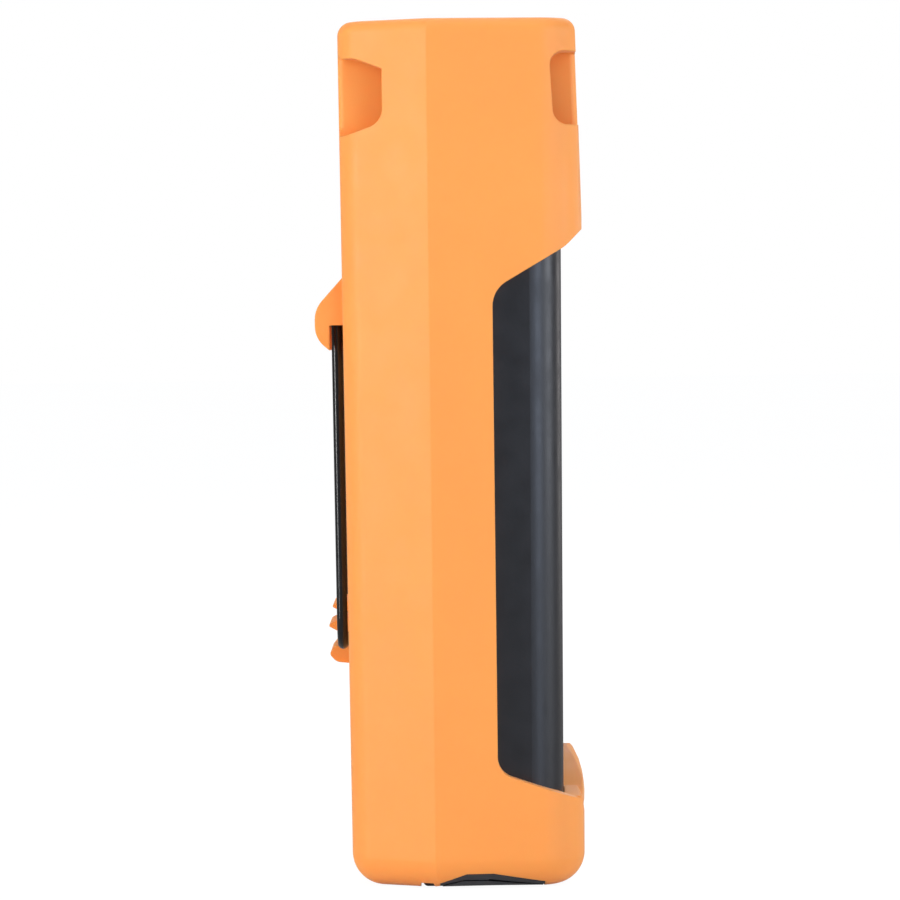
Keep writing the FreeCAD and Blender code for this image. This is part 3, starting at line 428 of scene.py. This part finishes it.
class METER_OT_boot(bpy.types.Operator):
    """Moulds the rubber boot's chin, thumb ribs and bottom arch, and finishes it"""
    bl_idname = "meter.boot"
    bl_label = "Rubber boot"

    def execute(self, context):
        sizes = context.scene.meter_sizes
        rubber = moulded("boot_rubber", tuple(context.scene.meter_colours.boot), 0.5, 2600.0,
                         0.000010, mottle=0.03, broad=28.0, specular=0.42, wave_depth=0.00006)
        tree = rubber.node_tree
        principled = tree.nodes["Principled BSDF"]
        principled.inputs["Sheen Weight"].default_value = 0.16
        principled.inputs["Sheen Roughness"].default_value = 0.45
        principled.inputs["Sheen Tint"].default_value = (1.0, 0.84, 0.68, 1.0)
        principled.inputs["Subsurface Weight"].default_value = 0.22
        principled.inputs["Subsurface Scale"].default_value = 0.002
        principled.inputs["Subsurface Radius"].default_value = (1.0, 0.45, 0.2)
        self.round_edges(tree, principled, sizes.edge_radius)
        dress("boot", rubber)
        boot = moulding_copy("boot")
        self.draw_out_ribs(boot, sizes)
        combine(boot, self.chin(sizes), "UNION")
        self.raise_arch(context, boot, sizes)
        take(boot)
        bpy.ops.object.shade_smooth_by_angle(angle=math.radians(20.0))
        modify(boot, "WEIGHTED_NORMAL", keep_sharp=True, weight=100)
        settle(boot, "boot_moulding", "meter", rubber)
        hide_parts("boot")
        return {"FINISHED"}

    @staticmethod
    def round_edges(tree, principled, radius):
        """Lets the light roll over every moulded edge."""
        rounded = tree.nodes.new("ShaderNodeBevel")
        rounded.samples = 4
        rounded.inputs["Radius"].default_value = radius
        first = principled.inputs["Normal"].links[0].from_node
        while first.inputs["Normal"].is_linked:
            first = first.inputs["Normal"].links[0].from_node
        tree.links.new(rounded.outputs["Normal"], first.inputs["Normal"])

    @staticmethod
    def draw_out_ribs(boot, sizes):
        """Draws the thumb ribs and the lip under the stand's foot out to their full reach."""
        root = BACK_FACE_Y + RIB_ROOT
        for (low, high), stretch in ((LIP_BAND, sizes.lip_stretch), (RIB_BAND, sizes.rib_stretch)):
            pick(boot, lambda at: abs(at.x) < RIB_HALF_WIDTH and low < at.z < high and at.y > root)
            bpy.ops.transform.resize(value=(1.0, stretch, 1.0),
                                     center_override=(0.0, BACK_FACE_Y * MM, 0.0))
            bpy.ops.object.mode_set(mode="OBJECT")

    @staticmethod
    def chin(sizes):
        """The bottom lip's middle, highest at its centre and rolled back to the instrument."""
        top = sizes.chin_height / MM
        made = block((-CHIN_MIDDLE, CHIN_FRONT, CHIN_LOW), (CHIN_MIDDLE, CHIN_BACK, CHIN_ROOT))
        shift(made, lambda at: at.z > CHIN_ROOT - 1.0 and at.y < CHIN_FACE,
              (0.0, -CHIN_SWELL, 0.0))
        height = CHIN_ROOT
        for level, lean in (*CHIN_LEVELS, (top, CHIN_CREST)):
            draw_out(made, lambda at: at.z > height - 0.1, (0.0, 0.0, level - height))
            height = level
            shift(made, lambda at: at.z > level - 0.1 and at.y < CHIN_FACE, (0.0, lean, 0.0))
        for side in (-1.0, 1.0):
            reach = CHIN_MIDDLE
            for half, turn in CHIN_SIDES:
                draw_out(made, lambda at: at.x * side > reach - 0.1,
                         ((half - reach) * side, 0.0, 0.0))
                reach = half
                shift(made, lambda at: at.x * side > half - 0.1, (0.0, turn, 0.0))
        rise = top - CHIN_END
        radius = (reach * reach + rise * rise) / (2.0 * rise)
        arc = cylinder(radius * MM, CHIN_ARC_DEPTH * MM,
                       (0.0, CHIN_FACE * MM, (top - radius) * MM), CHIN_ARC_STEPS, math.pi / 2)
        combine(made, arc, "INTERSECT")
        return made

    @staticmethod
    def raise_arch(context, boot, sizes):
        """Opens the arch in each side's bottom edge, and fills it with the end cap's lug."""
        lug_plastic = moulded("end_lug_plastic", tuple(context.scene.meter_colours.cover), 0.5,
                              1500.0, 0.000018, mottle=0.1, broad=60.0)
        rise = sizes.arch_rise / MM
        for side, name in ((-1, "end_lug_left"), (1, "end_lug_right")):
            near, far = sorted((side * ARCH_INNER, side * ARCH_OUTER))
            tool = block((near, ARCH_NEAR, -1.0), (far, ARCH_FAR, rise))
            shift(tool, lambda at: at.z > 0.0, (0.0, 0.0, -ARCH_CROWN))
            draw_out(tool, lambda at: at.z > 0.0, (0.0, 0.0, ARCH_CROWN))
            shift(tool, lambda at: at.z > rise - 1.0 and at.y < -10.0, (0.0, ARCH_NEAR_SLOPE, 0.0))
            shift(tool, lambda at: at.z > rise - 1.0 and at.y > 0.0, (0.0, -ARCH_FAR_SLOPE, 0.0))
            lug = duplicate(boot)
            combine(lug, tool, "INTERSECT", keep=True)
            combine(boot, tool, "DIFFERENCE")
            shift(lug, lambda at: True, (-side * LUG_INSET, 0.0, 0.0))
            settle(lug, name, "meter", lug_plastic, math.radians(30.0))


class METER_OT_shells(bpy.types.Operator):
    """Finishes the black shells, the battery door and the cap's bracket"""
    bl_idname = "meter.shells"
    bl_label = "Shells"

    def execute(self, context):
        colours = context.scene.meter_colours
        plastic = moulded("shell_plastic", tuple(colours.shell), 0.38, 1500.0, 0.000010,
                          mottle=0.08, broad=30.0, specular=0.85)
        dress_all(("front_shell", "rear_shell", "battery_door", "cap_bracket"), plastic)
        dress("end_cap", moulded("end_plastic", tuple(colours.cover), 0.5, 1500.0, 0.000018,
                                 mottle=0.1, broad=60.0))
        return {"FINISHED"}


class METER_OT_stand(bpy.types.Operator):
    """Finishes the coated wire stand"""
    bl_idname = "meter.stand"
    bl_label = "Wire stand"

    def execute(self, context):
        dress("bail_stand", moulded("stand_coat", tuple(context.scene.meter_colours.wire), 0.2,
                                    500.0, 0.000001, mottle=0.2, broad=90.0, specular=0.55))
        return {"FINISHED"}


class METER_OT_covers(bpy.types.Operator):
    """Finishes the socket cover and the dust cap"""
    bl_idname = "meter.covers"
    bl_label = "Rubber covers"

    def execute(self, context):
        cover = moulded("cover_rubber", tuple(context.scene.meter_colours.cover), 0.55, 2200.0,
                        0.00001, mottle=0.08, broad=60.0, specular=0.4)
        dress_all(("port_cover", "dust_cap"), cover)
        return {"FINISHED"}


class METER_OT_display(bpy.types.Operator):
    """Finishes the window, its printed border, the liquid crystal panel and its backlight"""
    bl_idname = "meter.display"
    bl_label = "Display"

    def execute(self, context):
        glass, tree, principled, place = shader("window_glass")
        principled.inputs["Base Color"].default_value = (0.92, 0.95, 0.95, 1.0)
        principled.inputs["Transmission Weight"].default_value = 0.95
        principled.inputs["IOR"].default_value = 1.46
        smear = spread(tree, noise(tree, place, 45.0, 4.0), 0.0, 0.03)
        tree.links.new(smear, principled.inputs["Roughness"])
        dress("display_window", glass)
        dress("lcd", moulded("lcd_panel", (0.235, 0.27, 0.2), 0.32, 3000.0, 0.0000005,
                             mottle=0.015, broad=12.0))
        dress("backlight", moulded("light_guide", (0.75, 0.75, 0.72), 0.4, 900.0, 0.000005))
        self.border()
        return {"FINISHED"}

    def border(self):
        """The frame printed on the window's back, with an opening for the panel."""
        ink = moulded("border_ink", (0.014, 0.015, 0.018), 0.3, 2000.0, 0.000001, mottle=0.06,
                      broad=80.0)
        low, high = (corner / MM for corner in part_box("display_window"))
        back = high.y - BORDER_GAP
        made = block((low.x + BORDER_INSET, back, low.z + BORDER_INSET),
                     (high.x - BORDER_INSET, back + BORDER_DEPTH, high.z - BORDER_INSET))
        hole = block((low.x + BORDER_WIDTH, back - 1.0, low.z + BORDER_WIDTH),
                     (high.x - BORDER_WIDTH, back + 1.0, high.z - BORDER_WIDTH))
        self.round_corners(hole)
        combine(made, hole, "DIFFERENCE")
        settle(made, "window_border", "meter", ink)

    @staticmethod
    def round_corners(piece):
        """Rounds the four edges of a block that run from front to back."""
        take(piece)
        bpy.ops.object.mode_set(mode="EDIT")
        bpy.ops.mesh.select_mode(type="EDGE")
        bpy.ops.mesh.select_all(action="DESELECT")
        bpy.ops.object.mode_set(mode="OBJECT")
        corners = piece.data.vertices
        for edge in piece.data.edges:
            first, last = (corners[at].co.y for at in edge.vertices)
            edge.select = abs(first - last) > MM
        bpy.ops.object.mode_set(mode="EDIT")
        bpy.ops.mesh.bevel(offset=BORDER_CORNER * MM, segments=5, affect="EDGES")
        bpy.ops.object.mode_set(mode="OBJECT")


class METER_OT_keypad(bpy.types.Operator):
    """Finishes the keys and the mat under them, and prints a plain sign on each key"""
    bl_idname = "meter.keypad"
    bl_label = "Keypad"

    def execute(self, context):
        dress_all(KEYS, moulded("key_plastic", tuple(context.scene.meter_colours.key), 0.48,
                                2400.0, 0.00001, mottle=0.05, broad=80.0))
        dress("key_power", moulded("power_key_plastic", (0.42, 0.03, 0.02), 0.48, 2400.0,
                                   0.00001, mottle=0.05, broad=80.0))
        dress("keypad_mat", moulded("keypad_silicone", (0.32, 0.32, 0.31), 0.6, 1800.0, 0.00001))
        ink = moulded("key_ink", (0.8, 0.8, 0.78), 0.4, 2600.0, 0.000001, mottle=0.03,
                      broad=200.0)
        for node, strokes in self.signs().items():
            self.sign(node, strokes, ink)
        return {"FINISHED"}

    @staticmethod
    def signs():
        """Strokes of each key's sign, in millimetres across and up from the key's centre."""
        def arc(start, sweep, steps):
            turns = [math.radians(start + sweep * at / steps) for at in range(steps + 1)]
            return [(math.sin(turn), math.cos(turn)) for turn in turns]

        ring, disc = arc(40.0, 280.0, 20), arc(0.0, 360.0, 16)
        rays = [[(x * 1.5, y * 1.5), (x * 2.2, y * 2.2)] for x, y in disc[:16:2]]
        wave = [(-3.0 + 6.0 * at / 24, 1.3 * math.sin(math.tau * 2 * at / 24)) for at in range(25)]
        tray = [(-2.2, -0.4), (-2.2, -2.0), (2.2, -2.0), (2.2, -0.4)]
        return {
            "key_light": [disc] + rays,
            "key_wave": [wave],
            "key_unit": [[(-3.0, 0.9), (3.0, 0.9), (1.8, 2.0)],
                         [(3.0, -0.9), (-3.0, -0.9), (-1.8, -2.0)]],
            "key_reference": [[(-2.2, -1.7), (0.0, 2.0), (2.2, -1.7), (-2.2, -1.7)]],
            "key_up": [[(-2.6, -1.1), (0.0, 1.4), (2.6, -1.1)]],
            "key_store": [tray, [(0.0, 2.2), (0.0, -1.0)],
                          [(-1.2, 0.2), (0.0, -1.0), (1.2, 0.2)]],
            "key_power": [[(x * 2.0, y * 2.0) for x, y in ring], [(0.0, 0.3), (0.0, 2.5)]],
            "key_down": [[(-2.6, 1.1), (0.0, -1.4), (2.6, 1.1)]],
            "key_recall": [tray, [(0.0, -1.0), (0.0, 2.2)],
                           [(-1.2, 1.0), (0.0, 2.2), (1.2, 1.0)]],
        }

    @staticmethod
    def sign(node, strokes, ink):
        """One sign: round strokes, pressed nearly flat on the key's face."""
        low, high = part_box(node)
        curve = bpy.data.curves.new(node + "_sign", "CURVE")
        curve.dimensions = "3D"
        curve.bevel_depth = SIGN_STROKE * MM
        curve.bevel_resolution = 2
        curve.use_fill_caps = True
        for stroke in strokes:
            spline = curve.splines.new("POLY")
            spline.points.add(len(stroke) - 1)
            for point, (across, up) in zip(spline.points, stroke):
                point.co = (across * MM, 0.0, up * MM, 1.0)
        made = bpy.data.objects.new(node + "_sign", curve)
        bpy.context.scene.collection.objects.link(made)
        take(made)
        bpy.ops.object.convert(target="MESH")
        made = bpy.context.object
        made.scale = (1.0, SIGN_FLATTENING, 1.0)
        made.location = ((low.x + high.x) / 2, low.y, (low.z + high.z) / 2)
        settle(made, node + "_sign", node, ink, math.radians(40.0))


class METER_OT_metalwork(bpy.types.Operator):
    """Finishes pins, screws, springs, contacts, sockets and the fibre port"""
    bl_idname = "meter.metalwork"
    bl_label = "Metalwork"

    def execute(self, context):
        steel = metal("steel", (0.56, 0.55, 0.54), 0.32)
        nickel = metal("nickel_plate", (0.66, 0.63, 0.58), 0.24)
        dress_all(("cover_pin", "cap_pin", "board_screws", "shell_screws", "door_screw"), steel)
        dress_all(("battery_contacts", "battery_springs", "port_barrel", "adapter", "detector",
                   "usb_socket"), nickel)
        self.sleeve()
        self.thread(nickel)
        return {"FINISHED"}

    @staticmethod
    def sleeve():
        """White ceramic sleeve round the hole for the plug's ferrule."""
        low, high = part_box("adapter")
        centre = (low + high) / 2
        made = cylinder(SLEEVE_RADIUS * MM, SLEEVE_DEPTH * MM,
                        (centre.x, centre.y, high.z - SLEEVE_SINK * MM))
        bore = cylinder(SLEEVE_BORE * MM, 4.0 * MM, (centre.x, centre.y, high.z))
        combine(made, bore, "DIFFERENCE")
        ceramic = moulded("ceramic", (0.82, 0.81, 0.78), 0.25, 3000.0, 0.0000005, mottle=0.02,
                          broad=300.0)
        settle(made, "ferrule_sleeve", "meter", ceramic, math.radians(40.0))

    @staticmethod
    def thread(nickel):
        """Rolled thread on the port between its flange and the adapter's nut."""
        low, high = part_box("adapter")
        centre = (low + high) / 2
        length = THREAD_PITCH * THREAD_TURNS
        steps = THREAD_STEPS * THREAD_TURNS
        clear_selection()
        bpy.ops.mesh.primitive_circle_add(vertices=3, radius=THREAD_TOOTH * MM,
                                          fill_type="NOTHING",
                                          location=(THREAD_RADIUS * MM, 0.0, 0.0),
                                          rotation=(math.pi / 2, math.pi / 2, 0.0))
        made = bpy.context.object
        bpy.ops.object.transform_apply(location=True, rotation=True, scale=True)
        modify(made, "SCREW", axis="Z", angle=math.tau * THREAD_TURNS, screw_offset=length * MM,
               steps=steps, render_steps=steps, use_merge_vertices=False,
               use_normal_calculate=True)
        pick(made, lambda at: True)
        bpy.ops.mesh.fill_holes(sides=3)
        bpy.ops.mesh.select_all(action="SELECT")
        bpy.ops.mesh.normals_make_consistent(inside=False)
        bpy.ops.object.mode_set(mode="OBJECT")
        made.location = (centre.x, centre.y, low.z - (length + THREAD_GAP) * MM)
        settle(made, "port_thread", "meter", nickel, math.radians(30.0))


class METER_OT_insides(bpy.types.Operator):
    """Finishes the boards, their parts, the ribbon and the cells"""
    bl_idname = "meter.insides"
    bl_label = "Boards and cells"

    def execute(self, context):
        dress_all(("main_board", "detector_board"),
                  moulded("solder_mask", (0.012, 0.11, 0.035), 0.3, 900.0, 0.000006,
                          mottle=0.15, broad=200.0))
        dress_all(("board_parts", "buzzer", "dc_jack"),
                  moulded("component_body", (0.02, 0.02, 0.02), 0.4, 1500.0, 0.00001))
        dress("sensor_flex", moulded("ribbon_film", (0.55, 0.24, 0.03), 0.3, 900.0, 0.000003))
        dress_all(BATTERIES, moulded("cell_sleeve", (0.05, 0.07, 0.11), 0.28, 900.0, 0.000004))
        return {"FINISHED"}


# ---------------------------------------------------------------- the studio

class METER_OT_stage(bpy.types.Operator):
    """Makes the floor, the lamps and the camera"""
    bl_idname = "meter.stage"
    bl_label = "Studio"

    def execute(self, context):
        studio = context.scene.meter_studio
        self.floor()
        self.world(context.scene)
        for name, place, width, height, share, tint in LAMPS:
            self.lamp(name, place, width, height, studio.lamp * share, tint)
        self.camera(context.scene, studio)
        context.scene.view_settings.view_transform = "Standard"
        return {"FINISHED"}

    @staticmethod
    def floor():
        """A pale floor that the camera, gloss and glass see as nearly plain white."""
        low, high = CAD_BOX
        clear_selection()
        bpy.ops.mesh.primitive_plane_add(size=FLOOR_SIZE,
                                         location=(0.0, 0.0, low.z - FLOOR_DROP))
        floor = bpy.context.object
        floor.name = "studio_floor"
        made, tree, principled, place = shader("studio_floor")
        principled.inputs["Roughness"].default_value = 0.9
        tone = spread(tree, noise(tree, place, 3.0), 0.0, 1.0)
        tree.links.new(blend_colours(tree, tone, (0.8, 0.8, 0.8), (0.84, 0.84, 0.84)),
                       principled.inputs["Base Color"])
        rays = tree.nodes.new("ShaderNodeLightPath").outputs
        through = arithmetic(tree, "MAXIMUM", rays["Is Glossy Ray"], rays["Is Transmission Ray"])
        seen = arithmetic(tree, "MAXIMUM", rays["Is Camera Ray"], through)
        share = arithmetic(tree, "MULTIPLY", seen, FLOOR_SHARE)
        white = tree.nodes.new("ShaderNodeEmission")
        white.inputs["Color"].default_value = (*WHITE, 1.0)
        strength = arithmetic(tree, "MULTIPLY_ADD", rays["Is Glossy Ray"],
                              FLOOR_GLOSS - FLOOR_WHITE, FLOOR_WHITE)
        tree.links.new(strength, white.inputs["Strength"])
        mixed = tree.nodes.new("ShaderNodeMixShader")
        tree.links.new(share, mixed.inputs[0])
        tree.links.new(principled.outputs["BSDF"], mixed.inputs[1])
        tree.links.new(white.outputs[0], mixed.inputs[2])
        tree.links.new(mixed.outputs[0], tree.nodes["Material Output"].inputs["Surface"])
        dress(floor, made)

    @staticmethod
    def world(scene):
        """A soft sky that the camera and glass see as plain white."""
        world = scene.world or bpy.data.worlds.new("studio_world")
        scene.world = world
        world.use_nodes = True
        tree = world.node_tree
        sky = tree.nodes["Background"]
        sky.inputs["Color"].default_value = (0.9, 0.93, 1.0, 1.0)
        white = tree.nodes.new("ShaderNodeBackground")
        white.inputs["Color"].default_value = (*WHITE, 1.0)
        white.inputs["Strength"].default_value = 1.0
        rays = tree.nodes.new("ShaderNodeLightPath").outputs
        seen = arithmetic(tree, "MAXIMUM", rays["Is Camera Ray"], rays["Is Transmission Ray"])
        strength = arithmetic(tree, "MULTIPLY_ADD", rays["Is Glossy Ray"],
                              SKY_GLOSS - SKY_LIGHT, SKY_LIGHT)
        tree.links.new(strength, sky.inputs["Strength"])
        mixed = tree.nodes.new("ShaderNodeMixShader")
        tree.links.new(seen, mixed.inputs[0])
        tree.links.new(sky.outputs[0], mixed.inputs[1])
        tree.links.new(white.outputs[0], mixed.inputs[2])
        tree.links.new(mixed.outputs[0], tree.nodes["World Output"].inputs["Surface"])

    @staticmethod
    def lamp(name, place, width, height, power, tint):
        """A softbox that faces the meter's middle."""
        light = bpy.data.lights.new(name, "AREA")
        light.shape = "RECTANGLE"
        light.size = width
        light.size_y = height
        light.energy = power
        light.color = tint
        holder = bpy.data.objects.new(name, light)
        bpy.context.scene.collection.objects.link(holder)
        holder.location = place
        holder.rotation_mode = "QUATERNION"
        aim = LAMP_AIM - Vector(place)
        holder.rotation_quaternion = aim.to_track_quat("-Z", "Y")

    @staticmethod
    def camera(scene, studio):
        """A camera that looks straight at the meter's left side."""
        low, high = CAD_BOX
        view = bpy.data.cameras.new("studio_camera")
        camera = bpy.data.objects.new("studio_camera", view)
        scene.collection.objects.link(camera)
        aim = Vector((low.x, (low.y + high.y) / 2, (low.z + high.z) / 2 + CAMERA_AIM_RISE))
        camera.location = (low.x - studio.distance, aim.y, studio.height)
        camera.rotation_mode = "QUATERNION"
        sight = (aim - camera.location).to_track_quat("-Z", "Y")
        camera.rotation_quaternion = sight @ Matrix.Rotation(studio.roll, 3, "Z").to_quaternion()
        view.sensor_width = SENSOR
        view.lens = SENSOR * studio.distance / studio.field
        view.clip_start = 0.02
        view.clip_end = 40.0
        scene.camera = camera


# ---------------------------------------------------------------- the add-on

STEPS = (METER_OT_boot, METER_OT_shells, METER_OT_stand, METER_OT_covers, METER_OT_display,
         METER_OT_keypad, METER_OT_metalwork, METER_OT_insides, METER_OT_stage)


class METER_PT_tools(bpy.types.Panel):
    """Steps and settings of the meter's looks"""
    bl_idname = "METER_PT_tools"
    bl_label = "Power meter"
    bl_space_type = "VIEW_3D"
    bl_region_type = "UI"
    bl_category = "Power meter"

    def draw(self, context):
        for group in (context.scene.meter_colours, context.scene.meter_sizes,
                      context.scene.meter_studio):
            box = self.layout.box()
            for name in group.__annotations__:
                box.prop(group, name)
        column = self.layout.column(align=True)
        for step in STEPS:
            column.operator(step.bl_idname)


GROUPS = (("meter_colours", MeterColours), ("meter_sizes", MeterSizes),
          ("meter_studio", MeterStudio))


def register():
    """Registers the settings, the steps and the panel."""
    for name, group in GROUPS:
        bpy.utils.register_class(group)
        setattr(bpy.types.Scene, name, bpy.props.PointerProperty(type=group))
    for part in (*STEPS, METER_PT_tools):
        bpy.utils.register_class(part)


def unregister():
    """Takes back what register did."""
    for part in reversed((*STEPS, METER_PT_tools)):
        bpy.utils.unregister_class(part)
    for name, group in reversed(GROUPS):
        delattr(bpy.types.Scene, name)
        bpy.utils.unregister_class(group)


def main():
    """Registers the add-on and runs every step."""
    register()
    for step in STEPS:
        area, name = step.bl_idname.split(".")
        getattr(getattr(bpy.ops, area), name)()


if __name__ == "__main__":
    main()
